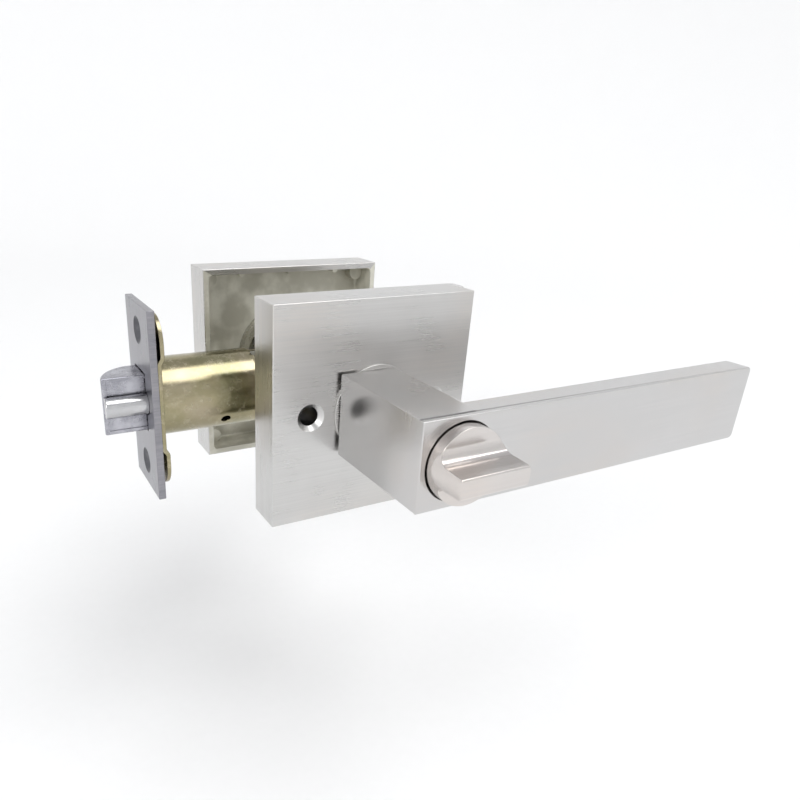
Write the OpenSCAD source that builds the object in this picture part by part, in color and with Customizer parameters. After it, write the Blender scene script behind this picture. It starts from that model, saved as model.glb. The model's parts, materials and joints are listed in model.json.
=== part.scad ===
// Door lever set on square roses, with a tubular latch and a thumb turn.
// Millimetres. +Z up, +X towards the lever tip, -Y towards the thumb-turn side,
// -X towards the door edge. The origin is on the spindle axis, mid door.

/* [Door] */
// Thickness of the door the set is clamped to
door_thickness = 44; // [35:0.5:50]
// Door edge to spindle axis
backset = 60.3; // [58:0.1:70]

/* [Rose] */
// Side of the square rose
rose_size = 66; // [62:0.5:76]
// Depth of the rose from the door face to its front face
rose_depth = 12.8; // [12:0.1:16]
// Thickness of the rose's side walls
rose_wall = 2; // [1.4:0.1:3]
// Thickness of the rose's front plate
rose_face = 2.4; // [2:0.1:3]
// Spacing of the two through-bolt holes
bolt_spacing = 42.2; // [41.6:0.1:46]
// Diameter of the through-bolt holes in the inner rose
bolt_hole_d = 5.6; // [5.2:0.1:6.2]
// Wall of the sleeve round each through-bolt hole
bolt_sleeve_wall = 1.5; // [1:0.1:2]
// Length of the sleeve behind the front plate
bolt_sleeve = 8.4; // [4:0.1:9]
// Diameter of the tapped holes in the outer rose's posts
post_bore_d = 4.2; // [3.6:0.1:4.6]

/* [Lever] */
// Height of the lever and its hub
lever_height = 24.8; // [24:0.1:28]
// Height of the lever at its tip
lever_tip_height = 24.2; // [18:0.1:28]
// Thickness of the flat arm
lever_thickness = 8; // [7:0.1:10]
// Spindle axis to lever tip
lever_reach = 113.8; // [95:0.5:130]
// Hub's back face to lever's front face
hub_projection = 40.1; // [36:0.1:50]
// Spindle axis to the hub's square side
hub_back_side = 12.5; // [12:0.1:15]
// Spindle axis to the hub's side below the arm
hub_arm_side = 6.5; // [6.2:0.1:12]
// Corner radius on the hub's arm side
hub_corner_r = 2; // [0.5:0.1:5]
// Corner radius at the lever tip
tip_r = 1.5; // [0.5:0.1:4]
// Diameter of the round shank that turns in the rose
shank_d = 20; // [18:0.1:21]

/* [Thumb turn] */
// Diameter of the thumb turn
turn_d = 21.2; // [18:0.1:22]
// Lever face to the thumb turn's flat face
turn_disc_proud = 3.6; // [1.5:0.1:5]
// Lever face to the front of the blade
turn_blade_proud = 13.2; // [9:0.1:16]
// Thickness of the blade at its front
turn_blade_front = 5.4; // [3:0.1:6]
// Thickness of the blade at its root
turn_blade_root = 5.8; // [4:0.1:8]
// Radius between blade and disc
turn_root_r = 3.6; // [1:0.1:4]
// Diameter of the thumb turn's stem
stem_d = 6; // [5:0.1:6.6]
// Diameter of the lock rod
rod_d = 4; // [3:0.1:4.2]

/* [Spindle and return spring] */
// Side of the square spindle
spindle_side = 8; // [7.6:0.1:8.4]
// Diameter of the bore through the spindle
spindle_bore_d = 4.6; // [4.5:0.1:5]
// Outer diameter of the spring cup
cup_d = 34; // [33:0.1:35.6]
// Wall of the spring cup
cup_wall = 2; // [1.6:0.1:3]
// Wire diameter of the return spring
return_wire_d = 1.3; // [1:0.05:1.5]
// Turns of the return spring
return_turns = 2; // [1:1:3]

/* [Latch] */
// Outer diameter of the latch case
case_d = 23.6; // [23:0.1:25]
// Sheet thickness of the latch case
case_wall = 1; // [0.8:0.1:1.2]
// Height of the faceplate
faceplate_height = 57.2; // [56:0.1:60]
// Width of the faceplate
faceplate_width = 25.4; // [24:0.1:28]
// Thickness of the faceplate
faceplate_thickness = 2.2; // [1.8:0.1:3]
// Spacing of the faceplate screw holes
plate_screw_spacing = 41.3; // [40:0.1:44]
// Diameter of the faceplate screw holes
plate_screw_d = 4.6; // [4:0.1:5]
// How far the latch bolt stands out of the faceplate
bolt_throw = 12.5; // [11:0.1:13]
// Height of the latch bolt
latch_bolt_height = 17.2; // [14:0.1:17.4]
// Radius of the deadlatch plunger
plunger_r = 3.2; // [2.6:0.1:3.4]
// Diameter of the rivets through the case
rivet_d = 2.4; // [2:0.1:3]

/* [Fits] */
// Radial clearance of a turning shaft in its bore
run_fit = 0.05; // [0.02:0.01:0.1]
// Clearance of a square or keyed seat
seat_fit = 0.05; // [0.02:0.01:0.1]
// Gap beside a moving piece
free_gap = 0.35; // [0.3:0.05:0.5]

/* [Hidden] */
$fn = 64;
eps = 0.01;
hd = door_thickness / 2;
// depths below are measured outwards from the door face
face_v = rose_depth;
cavity = rose_depth - rose_face;
collar_rim = 0.85;
collar_d = shank_d + 7.4;
spigot_d = shank_d + 3.8;
spigot_end = cavity - 0.8;
hub_v = rose_depth + collar_rim + free_gap;
front_v = hub_v + hub_projection;
arm_v = front_v - lever_thickness;
shank_end = 0.8;
key_flat = shank_d - 4;
clip_v = 1.3;
clip_t = 0.9;
washer_t = 0.5;
drive_v = clip_v + clip_t + washer_t + 0.1;
drive_t = 1.5;
drive_r = cup_d / 2 - cup_wall - free_gap;
cup_v = 2;
cup_floor = 1.2;
ear_half = 10;
ear_r = drive_r + 1;
lever_swing = 60;
coil_r = (shank_d / 2 + cup_d / 2 - cup_wall) / 2 + 0.4;
coil_pitch = return_wire_d + 0.15;
washer_r = coil_r - 1;
lug_y = cup_d / 2 - cup_wall - 3.9;
coil_v = cavity - cup_floor - 0.1 - return_wire_d / 2;
lug_a = 215;
leg_turn = 2.4;
leg_r = return_wire_d / 2 - 0.06;
ear_pos = cup_d / 2 + 2.8;
// thumb turn and rod
turn_well = 5.6;
well_v = front_v - turn_well;
turn_floor = well_v + free_gap;
disc_v = front_v + turn_disc_proud;
blade_v = front_v + turn_blade_proud;
chamber_v = front_v - lever_thickness - 6.2;
chamber_end = chamber_v + 4;
spindle_end = chamber_v - 1;
stem_end = chamber_v + 1.6;
stem_clip_t = 0.7;
stem_clip_v = chamber_end - free_gap - stem_clip_t;
release_v = front_v - 1.4;
grub_v = hub_v + 10;
grub_r = 2.5;
// latch, along X
plate_x = -backset;
back_x = plate_x + faceplate_thickness;
back_t = 1.2;
tube_x = back_x;
wall_x = -25.2;
case_r = case_d / 2;
tube_r = case_r - case_wall;
tail_in = 5.6;
tail_t = 1.2;
tail_z = 9.4;
tail_end = 12;
tip_x = plate_x - bolt_throw;
plunger_y = -tube_r / 2;
bolt_y0 = plunger_y + 0.4;
bolt_y1 = tube_r - 4.9;
bolt_rear = plate_x + 14.3;
throw = bolt_throw - 0.5;
ring_x = wall_x - throw - 4;
ring_t = 1.8;
head_t = 1.2;
bar_t = 1.6;
bar_y = 3.6;
bar_z = sqrt(pow(tube_r - free_gap, 2) - pow(bar_y, 2)) - bar_t;
prong_z = bar_z - 1.9;
cam_r = 12;
cam_tip = 1.2;
cam_lean = 30;
cam_y = 1.8;
hook_x = -cam_r * sin(cam_lean) + cam_tip + free_gap;
follower_r = 7.4;
coil_bolt_r = 3.4;
coil_bolt_wire = 0.9;
coil_plunger_r = 1.3;
coil_plunger_wire = 0.5;
coil_plunger_y = plunger_y - coil_plunger_r - coil_plunger_wire - 0.3;
plunger_rear = plate_x + 8.3;

// a round bar along Y between two depths on the thumb-turn side
module bar(v0, v1, r, x = 0, z = 0)
    translate([x, -hd - v0, z]) rotate([90, 0, 0]) cylinder(h = v1 - v0, r = r);

// a box between two depths on the thumb-turn side
module slab(x0, x1, v0, v1, z0, z1)
    translate([x0, -hd - v1, z0]) cube([x1 - x0, v1 - v0, z1 - z0]);

// a flat profile drawn in X and Z, extruded between two depths
module profile(v0, v1)
    translate([0, -hd - v0, 0]) rotate([90, 0, 0]) linear_extrude(v1 - v0) children();

// a round bar along X
module xbar(x0, x1, r, y = 0, z = 0)
    translate([x0, y, z]) rotate([0, 90, 0]) cylinder(h = x1 - x0, r = r);

// a box between two corners
module box(a, b) translate(a) cube(b - a);

// half turns of round wire, climbing along +Z
module coil(r, wire, pitch, turns, facets = 36)
    for (i = [0 : 2 * turns - 1])
        translate([0, 0, pitch * (i / 2 + 0.25)])
            rotate([0, 0, 180 * i]) rotate([0, asin(pitch / (4 * r)), 0])
                rotate_extrude(angle = 180, $fn = facets)
                    translate([r, 0]) circle(r = wire / 2, $fn = 13);

// ---------------------------------------------------------------- roses
module rose_shell() {
    difference() {
        slab(-rose_size / 2, rose_size / 2, 0, rose_depth, -rose_size / 2, rose_size / 2);
        slab(-rose_size / 2 + rose_wall, rose_size / 2 - rose_wall, -1, cavity,
            -rose_size / 2 + rose_wall, rose_size / 2 - rose_wall);
        bar(cavity - 1, face_v + 1, spigot_d / 2 + seat_fit);
        for (s = [-1, 1])
            bar(cavity - eps, cavity + 1.9, 1, s * ear_pos * cos(45), s * ear_pos * sin(45));
    }
    // casting pads in the corners and ribs under the top wall
    for (i = [-1, 1], j = [-1, 1])
        bar(cavity - 4, cavity + eps, 2.6, i * (rose_size / 2 - rose_wall - 2.4),
            j * (rose_size / 2 - rose_wall - 2.4));
    for (x = [-18, 0, 18])
        bar(cavity - 7, cavity + eps, 1, x, rose_size / 2 - rose_wall - 0.6);
}

module inside_rose() color([0.74, 0.72, 0.69]) difference() {
    union() {
        rose_shell();
        // screw sleeves, cut back clear of the spring cup
        difference() {
            for (s = [-1, 1]) bar(cavity - bolt_sleeve, cavity + eps,
                bolt_hole_d / 2 + bolt_sleeve_wall, s * bolt_spacing / 2);
            bar(0, cavity, cup_d / 2 + free_gap);
        }
    }
    for (s = [-1, 1]) {
        bar(cavity - bolt_sleeve - 1, face_v + 1, bolt_hole_d / 2, s * bolt_spacing / 2);
        translate([s * bolt_spacing / 2, -hd - face_v + 1.4, 0]) rotate([90, 0, 0])
            cylinder(h = 1.5, r1 = bolt_hole_d / 2, r2 = bolt_hole_d / 2 + 1.5);
    }
}

module outside_rose() color([0.74, 0.72, 0.69]) mirror([0, 1, 0]) {
    difference() {
        union() {
            rose_shell();
            for (s = [-1, 1]) bar(1, cavity + eps, 3, s * bolt_spacing / 2);
        }
        for (s = [-1, 1]) bar(0, 9, post_bore_d / 2, s * bolt_spacing / 2);
    }
}

module collar() difference() {
    union() {
        bar(face_v, face_v + collar_rim, collar_d / 2);
        bar(spigot_end, face_v + eps, spigot_d / 2);
    }
    bar(spigot_end - 1, face_v + collar_rim + 1, shank_d / 2 + run_fit);
}
module inside_collar() color([0.76, 0.74, 0.71]) collar();
module outside_collar() color([0.76, 0.74, 0.71]) mirror([0, 1, 0]) collar();

// ---------------------------------------------------------------- levers
module hub_section() {
    h = lever_height / 2;
    r = hub_corner_r;
    translate([-hub_back_side, -h]) square([hub_back_side + hub_arm_side - r, 2 * h]);
    translate([-hub_back_side, -h + r])
        square([hub_back_side + hub_arm_side, 2 * (h - r)]);
    for (s = [-1, 1]) translate([hub_arm_side - r, s * (h - r)]) circle(r = r);
}

module arm_section() {
    h = lever_height / 2;
    t = lever_tip_height / 2;
    polygon([[-hub_back_side, -h], [0, -h], [lever_reach - tip_r, -t],
        [lever_reach - tip_r, t], [0, h], [-hub_back_side, h]]);
    translate([lever_reach - 2 * tip_r, -t + tip_r]) square([2 * tip_r, 2 * (t - tip_r)]);
    for (s = [-1, 1]) translate([lever_reach - tip_r, s * (t - tip_r)]) circle(r = tip_r);
}

module key_section(gap) intersection() {
    circle(r = shank_d / 2 + gap);
    square(key_flat + 2 * gap, center = true);
}

module lever_body() difference() {
    union() {
        profile(hub_v, front_v - 1) hub_section();
        profile(arm_v, front_v) arm_section();
        bar(drive_v + drive_t + 0.2, hub_v + eps, shank_d / 2);
        profile(shank_end, drive_v + drive_t + 0.2 + eps) key_section(0);
    }
    // circlip groove
    difference() {
        bar(clip_v - 0.05, clip_v + clip_t + 0.05, shank_d);
        bar(clip_v - 1, clip_v + clip_t + 1, shank_d / 2 - 2.8);
    }
    // square spindle seat, then the round chamber beyond it
    profile(0, chamber_v) square(spindle_side + 2 * seat_fit, center = true);
    bar(chamber_v - eps, chamber_end, spindle_side / 2 + seat_fit);
    // set screw hole from below
    translate([0, -hd - grub_v, -lever_height / 2 - 1])
        cylinder(h = lever_height / 2 + 1, r = grub_r + run_fit);
}

module inside_lever() color([0.74, 0.72, 0.69]) difference() {
    lever_body();
    bar(chamber_end - eps, well_v + eps, stem_d / 2 + run_fit);
    bar(well_v, front_v + 1, turn_d / 2 + free_gap);
}
module outside_lever() color([0.74, 0.72, 0.69]) mirror([0, 1, 0]) difference() {
    lever_body();
    bar(chamber_end - eps, front_v + 1, rod_d / 2 + run_fit);
}

module set_screw() difference() {
    translate([0, -hd - grub_v, -lever_height / 2 + 0.6])
        cylinder(h = lever_height / 2 - spindle_side / 2 - 0.6, r = grub_r);
    translate([0, -hd - grub_v, -lever_height / 2])
        cylinder(h = 3.4, r = 1.45, $fn = 6);
}
module inside_set_screw() color([0.22, 0.22, 0.23]) set_screw();
module outside_set_screw() color([0.22, 0.22, 0.23]) mirror([0, 1, 0]) set_screw();

module spindle() color([0.6, 0.61, 0.62]) difference() {
    box([-spindle_side / 2, -hd - spindle_end, -spindle_side / 2],
        [spindle_side / 2, hd + spindle_end, spindle_side / 2]);
    translate([0, hd + spindle_end + 1, 0]) rotate([90, 0, 0])
        cylinder(h = 2 * (hd + spindle_end) + 2, r = spindle_bore_d / 2);
}

// ---------------------------------------------------------------- return springs
module sector(r, a0, a1) polygon(concat([[0, 0]],
    [for (i = [0 : 8]) r * [cos(a0 + (a1 - a0) * i / 8), sin(a0 + (a1 - a0) * i / 8)]]));

module spring_cup() difference() {
    union() {
        bar(cup_v, cavity, cup_d / 2);
        for (s = [-1, 1])
            bar(cavity - 2, cavity, 3.2, s * ear_pos * cos(45), s * ear_pos * sin(45));
    }
    bar(cup_v - 1, cavity - cup_floor, cup_d / 2 - cup_wall);
    bar(cup_v, cavity + 1, spigot_d / 2 + 0.4);
    for (s = [-1, 1])
        bar(cavity - 3, cavity + 1, 1.1, s * ear_pos * cos(45), s * ear_pos * sin(45));
    // window for the drive plate's ear, from rest to full turn
    profile(cup_v - 1, drive_v + drive_t + 0.4) intersection() {
        circle(r = ear_r + free_gap);
        sector(60, 90 - lever_swing - ear_half - 2, 90 + ear_half + 2);
    }
    // notch for the fixed spring leg
    profile(cup_v - 1, cavity - cup_floor) rotate(lug_a)
        translate([coil_r, -0.9]) square([cup_d, 1.8]);
}
module inside_spring_cup() color([0.7, 0.68, 0.62]) spring_cup();
module outside_spring_cup() color([0.7, 0.68, 0.62]) mirror([0, 1, 0]) spring_cup();

module cup_screws() for (s = [-1, 1]) difference() {
    union() {
        bar(cavity - 3.4, cavity - 2, 2.4, s * ear_pos * cos(45), s * ear_pos * sin(45));
        bar(cavity - 2 - eps, cavity + 1.7, 1, s * ear_pos * cos(45), s * ear_pos * sin(45));
    }
    translate([s * ear_pos * cos(45), 0, s * ear_pos * sin(45)]) for (a = [0, 90])
        rotate([0, a + 20, 0]) slab(-1.5, 1.5, cavity - 3.5, cavity - 2.7, -0.35, 0.35);
}
module inside_cup_screws() color([0.75, 0.72, 0.6]) cup_screws();
module outside_cup_screws() color([0.75, 0.72, 0.6]) mirror([0, 1, 0]) cup_screws();

module return_spring() {
    len = coil_pitch * return_turns;
    translate([0, -hd - coil_v, 0]) rotate([-90, 0, 0])
        rotate([0, 0, -lug_a - leg_turn]) {
            coil(coil_r, return_wire_d, coil_pitch, return_turns);
            // leg held in the cup's notch
            rotate([0, 0, leg_turn]) translate([coil_r, 0, 0]) rotate([0, 90, 0])
                cylinder(h = cup_d / 2 - 0.8 - coil_r, r = leg_r);
            // leg held in the drive plate
            rotate([0, 0, -leg_turn]) translate([coil_r, 0, len])
                cylinder(h = coil_v - len - drive_v - 0.2, r = leg_r);
        }
}
module inside_return_spring() color([0.45, 0.46, 0.48]) return_spring();
module outside_return_spring() color([0.45, 0.46, 0.48]) mirror([0, 1, 0]) return_spring();

module drive_plate() difference() {
    union() {
        bar(drive_v, drive_v + drive_t, drive_r);
        profile(drive_v, drive_v + drive_t) intersection() {
            circle(r = ear_r);
            sector(60, 90 - ear_half, 90 + ear_half);
        }
    }
    profile(drive_v - 1, drive_v + drive_t + 1) key_section(seat_fit);
    bar(drive_v - 1, drive_v + drive_t + 1, leg_r + 0.15,
        coil_r * cos(lug_a + 2 * leg_turn), coil_r * sin(lug_a + 2 * leg_turn));
    for (a = [30, 150, 270])
        bar(drive_v - 1, drive_v + drive_t + 1, 0.9, coil_r * cos(a), coil_r * sin(a));
}
module inside_drive_plate() color([0.08, 0.08, 0.09]) drive_plate();
module outside_drive_plate() color([0.08, 0.08, 0.09]) mirror([0, 1, 0]) drive_plate();

module washer() profile(clip_v + clip_t + 0.05, clip_v + clip_t + 0.05 + washer_t) difference() {
    circle(r = washer_r);
    circle(r = shank_d / 2 + 0.1);
}
module inside_washer() color([0.62, 0.63, 0.64]) washer();
module outside_washer() color([0.62, 0.63, 0.64]) mirror([0, 1, 0]) washer();

module circlip() profile(clip_v, clip_v + clip_t) {
    r = shank_d / 2 - 2.75;
    difference() {
        union() {
            circle(r = shank_d / 2 + 1.2);
            for (s = [-1, 1]) translate([s * 2.9, -lug_y]) circle(r = 1.7);
        }
        circle(r = r);
        translate([-1.4, -shank_d]) square([2.8, shank_d]);
        for (s = [-1, 1]) translate([s * 3, -lug_y - 0.1]) circle(r = 0.7);
    }
}
module inside_circlip() color([0.2, 0.2, 0.21]) circlip();
module outside_circlip() color([0.2, 0.2, 0.21]) mirror([0, 1, 0]) circlip();

// ---------------------------------------------------------------- thumb turn
// half of the blade's profile: depth along X, height along Y
module blade_half() {
    f = turn_blade_front / 2;
    b = turn_blade_root / 2;
    r = turn_root_r;
    polygon(concat([[front_v, 0], [blade_v, 0], [blade_v, f - 0.4], [blade_v - 0.4, f]],
        [for (i = [0 : 10]) [disc_v + r - r * sin(9 * i), b + r - r * cos(9 * i)]],
        [[disc_v, turn_d], [front_v, turn_d]]));
}

module thumb_turn() color([0.8, 0.78, 0.76]) {
    bar(turn_floor, front_v + eps, turn_d / 2);
    intersection() {
        bar(front_v, blade_v, turn_d / 2);
        translate([-turn_d, -hd, 0]) rotate([90, 0, 90]) linear_extrude(2 * turn_d)
            mirror([1, 0]) for (s = [0, 1]) mirror([0, s]) blade_half();
    }
    difference() {
        bar(stem_end, turn_floor + eps, stem_d / 2);
        difference() {
            bar(stem_clip_v - 0.05, stem_clip_v + stem_clip_t + 0.05, stem_d);
            bar(stem_clip_v - 1, stem_clip_v + stem_clip_t + 1, stem_d / 2 - 0.9);
        }
        bar(stem_end - 1, stem_clip_v - 0.6, rod_d / 2 - 0.6);
    }
}

module turn_clip() color([0.2, 0.2, 0.21])
    profile(stem_clip_v, stem_clip_v + stem_clip_t) difference() {
        circle(r = spindle_side / 2 - free_gap);
        circle(r = stem_d / 2 - 0.85);
        translate([-1.5, -spindle_side]) square([3, spindle_side]);
    }

module lock_rod() color([0.7, 0.66, 0.5]) difference() {
    union() {
        translate([0, hd + release_v, 0]) rotate([90, 0, 0])
            cylinder(h = 2 * hd + release_v + stem_end, r = rod_d / 2);
        bar(stem_end - eps, stem_clip_v - 0.65, rod_d / 2 - 0.65);
    }
    // coin slot at the outer end
    box([-rod_d, hd + release_v - 1.4, -0.4], [rod_d, hd + release_v + 1, 0.4]);
}

// ---------------------------------------------------------------- latch
module bolt_opening(x0, x1, gap) {
    box([x0, bolt_y0 - gap, -latch_bolt_height / 2 - gap],
        [x1, bolt_y1 + gap, latch_bolt_height / 2 + gap]);
    xbar(x0, x1, plunger_r + gap, plunger_y);
}

module faceplate() color([0.6, 0.6, 0.63]) difference() {
    box([plate_x, -faceplate_width / 2, -faceplate_height / 2],
        [back_x, faceplate_width / 2, faceplate_height / 2]);
    bolt_opening(plate_x - 1, back_x + 1, free_gap);
    for (s = [-1, 1]) translate([0, 0, s * plate_screw_spacing / 2]) {
        xbar(plate_x - 1, back_x + 1, plate_screw_d / 2);
        translate([plate_x - eps, 0, 0]) rotate([0, 90, 0])
            cylinder(h = 1.5, r1 = plate_screw_d / 2 + 1.8, r2 = plate_screw_d / 2);
    }
}

module backing_plate() color([0.8, 0.72, 0.45]) {
    w = faceplate_width / 2 - 0.6;
    end_z = faceplate_height / 2 - 2.4;
    end_r = 8;
    step_z = case_r + 1.2;
    difference() {
        union() {
            box([back_x, -w, -step_z - 1], [back_x + back_t, w, step_z + 1]);
            for (s = [0, 1]) mirror([0, 0, s]) {
                // stepped-back end with large corner radii
                translate([back_x + back_t - 0.2, 0, 0]) rotate([90, 0, 90])
                    linear_extrude(back_t) intersection() {
                        translate([-w, step_z]) square([2 * w, end_z - step_z]);
                        union() {
                            translate([-w, 0]) square([2 * w, end_z - end_r]);
                            translate([-w + end_r, 0]) square([2 * (w - end_r), end_z]);
                            for (t = [-1, 1])
                                translate([t * (w - end_r), end_z - end_r]) circle(r = end_r);
                        }
                    }
                // pressed ring that carries the screw hole up to the faceplate
                xbar(back_x, back_x + back_t, plate_screw_d / 2 + 2, 0,
                    plate_screw_spacing / 2);
            }
        }
        xbar(back_x - 1, back_x + back_t + 1, tube_r);
        for (s = [-1, 1]) xbar(back_x - 1, back_x + 2 * back_t, plate_screw_d / 2 + 0.2,
            0, s * plate_screw_spacing / 2);
    }
}

module latch_case() color([0.8, 0.72, 0.45]) difference() {
    union() {
        translate([back_x + back_t, 0, 0]) rotate([0, 90, 0]) rotate_extrude()
            polygon(concat(
                [[tube_r, 0], [case_r, 0]],
                [for (i = [0 : 6]) [case_r - 3 + 3 * cos(15 * i),
                    wall_x + 1 - back_x - back_t - 3 + 3 * sin(15 * i)]],
                [[0, wall_x + 1 - back_x - back_t], [0, wall_x - back_x - back_t],
                    [tube_r, wall_x - back_x - back_t]]));
        // tail: two side plates joined at the rear
        for (s = [-1, 1]) box([wall_x + 0.5, s > 0 ? tail_in : -tail_in - tail_t, -tail_z],
            [tail_end, s > 0 ? tail_in + tail_t : -tail_in, tail_z]);
        box([tail_end - tail_t, -tail_in - tail_t, -tail_z],
            [tail_end, tail_in + tail_t, tail_z]);
    }
    // windows in the rear wall for the retractor's bars
    for (s = [-1, 1]) box([wall_x - 1, -bar_y - free_gap, s > 0 ? bar_z - free_gap : -tube_r],
        [wall_x + 3, bar_y + free_gap, s > 0 ? tube_r : -bar_z + free_gap]);
    // follower bearings, through-bolt passage, drain hole, rivet holes
    translate([0, tail_in + tail_t + 1, 0]) rotate([90, 0, 0])
        cylinder(h = 2 * (tail_in + tail_t + 1), r = follower_r + run_fit);
    translate([-bolt_spacing / 2, tail_in + tail_t + 1, 0]) rotate([90, 0, 0])
        cylinder(h = 2 * (tail_in + tail_t + 1), r = bolt_hole_d / 2 + 0.4);
    rotate([-35, 0, 0]) translate([-37.5, 0, 0]) rotate([90, 0, 0])
        cylinder(h = case_d, r = 1.5);
    for (p = rivet_at) translate([p[0], tail_in + tail_t + 1, p[1]]) rotate([90, 0, 0])
        cylinder(h = 2 * (tail_in + tail_t + 1), r = rivet_d / 2 + 0.02);
}
rivet_at = [[8.6, 6.2], [8.6, -6.2], [-13.5, 5], [-13.5, -5]];

module case_rivets() color([0.72, 0.66, 0.45]) for (p = rivet_at) {
    w = tail_in + tail_t;
    translate([p[0], w, p[1]]) rotate([90, 0, 0]) cylinder(h = 2 * w, r = rivet_d / 2);
    for (s = [0, 1]) mirror([0, s, 0]) translate([p[0], w + 0.7, p[1]]) rotate([90, 0, 0])
        cylinder(h = 0.7, r1 = rivet_d / 2 + 0.2, r2 = rivet_d / 2 + 0.8);
}

module latch_bolt() color([0.55, 0.56, 0.57]) {
    hz = latch_bolt_height / 2;
    intersection() {
        box([tip_x, bolt_y0, -hz], [bolt_rear, bolt_y1, hz]);
        // curved lead-in on the closing side
        union() {
            translate([tip_x + 12.6, bolt_y0 - 1.2, -hz - 1]) cylinder(h = 2 * hz + 2, r = 12.6);
            box([tip_x + 12.6, bolt_y0 - 1, -hz - 1], [bolt_rear + 1, bolt_y1 + 1, hz + 1]);
        }
    }
    // guide for the spring, and two prongs that the retractor pulls
    xbar(bolt_rear - eps, ring_x - 1.6, 1.9);
    for (s = [-1, 1]) {
        box([bolt_rear - eps, -2, s * prong_z - 0.7], [ring_x + ring_t + 0.3 + head_t, 2, s * prong_z + 0.7]);
        box([ring_x + ring_t + 0.3, -3.4, s * prong_z - 0.7],
            [ring_x + ring_t + 0.3 + head_t, 3.4, s * prong_z + 0.7]);
    }
}

module bolt_spring() color([0.5, 0.51, 0.53]) {
    gap = wall_x - bolt_rear - 0.1;
    turns = 6;
    translate([bolt_rear + 0.05 + coil_bolt_wire / 2, 0, 0]) rotate([0, 90, 0])
        coil(coil_bolt_r, coil_bolt_wire, (gap - coil_bolt_wire) / turns, turns);
}

module plunger() color([0.85, 0.85, 0.86]) difference() {
    xbar(tip_x + 0.4, plunger_rear, plunger_r, plunger_y);
    box([tip_x - 1, plunger_y, -plunger_r - 1], [plunger_rear + 1, plunger_y + 10, plunger_r + 1]);
}

module plunger_spring() color([0.5, 0.51, 0.53]) {
    gap = wall_x - plunger_rear - 0.1;
    turns = 10;
    translate([plunger_rear + 0.05 + coil_plunger_wire / 2, coil_plunger_y, 0]) rotate([0, 90, 0])
        coil(coil_plunger_r, coil_plunger_wire, (gap - coil_plunger_wire) / turns, turns, 24);
}

module retractor() color([0.62, 0.63, 0.65]) {
    // ring round the bolt spring
    difference() {
        intersection() {
            xbar(ring_x, ring_x + ring_t, tube_r - 0.4);
            box([ring_x - 1, plunger_y + 0.3, -20], [ring_x + ring_t + 1, 6, 20]);
        }
        xbar(ring_x - 1, ring_x + ring_t + 1, coil_bolt_r + coil_bolt_wire / 2 + 0.5);
        for (s = [-1, 1]) box([ring_x - 1, -2.3, s * prong_z - 1.05],
            [ring_x + ring_t + 1, 2.3, s * prong_z + 1.05]);
    }
    // upper bar, slotted for the follower's finger, and its hook
    difference() {
        box([ring_x + eps, -bar_y, bar_z], [hook_x + 2.4, bar_y, bar_z + bar_t]);
        box([hook_x - 6, -cam_y - 0.4, bar_z - 1], [hook_x + 1.4, cam_y + 0.4, bar_z + bar_t + 1]);
    }
    box([hook_x, -bar_y, bar_z + bar_t - eps], [hook_x + 2.4, bar_y, cam_r + cam_tip - 0.2]);
    // lower bar
    box([ring_x + eps, -bar_y, -bar_z - bar_t], [-14, bar_y, -bar_z]);
}

module follower() color([0.72, 0.68, 0.55]) difference() {
    union() {
        translate([0, tail_in + tail_t + 0.3, 0]) rotate([90, 0, 0])
            cylinder(h = 2 * (tail_in + tail_t + 0.3), r = follower_r);
        translate([0, tail_in - free_gap, 0]) rotate([90, 0, 0])
            cylinder(h = 2 * (tail_in - free_gap), r = follower_r + 0.4);
        rotate([0, -cam_lean, 0]) {
            box([-0.7, -cam_y, 4], [0.7, cam_y, cam_r]);
            translate([0, cam_y, cam_r]) rotate([90, 0, 0]) cylinder(h = 2 * cam_y, r = cam_tip);
        }
    }
    box([-spindle_side / 2 - seat_fit, -20, -spindle_side / 2 - seat_fit],
        [spindle_side / 2 + seat_fit, 20, spindle_side / 2 + seat_fit]);
}

inside_rose();
outside_rose();
inside_collar();
outside_collar();
inside_lever();
outside_lever();
inside_spring_cup();
outside_spring_cup();
inside_cup_screws();
outside_cup_screws();
inside_return_spring();
outside_return_spring();
inside_drive_plate();
outside_drive_plate();
inside_washer();
outside_washer();
inside_circlip();
outside_circlip();
inside_set_screw();
outside_set_screw();
spindle();
thumb_turn();
turn_clip();
lock_rod();
faceplate();
backing_plate();
latch_case();
case_rivets();
latch_bolt();
bolt_spring();
plunger();
plunger_spring();
retractor();
follower();
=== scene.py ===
# %% [markdown]
# # A privacy lever set for a door
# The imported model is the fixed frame: it gives every part its place and its size.
# This notebook gives the parts their looks. Each visible part is modelled again
# with edit-mode tools, so that it has real edge rounding, and the small hidden
# parts are softened copies of the frame's own solids.

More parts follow.
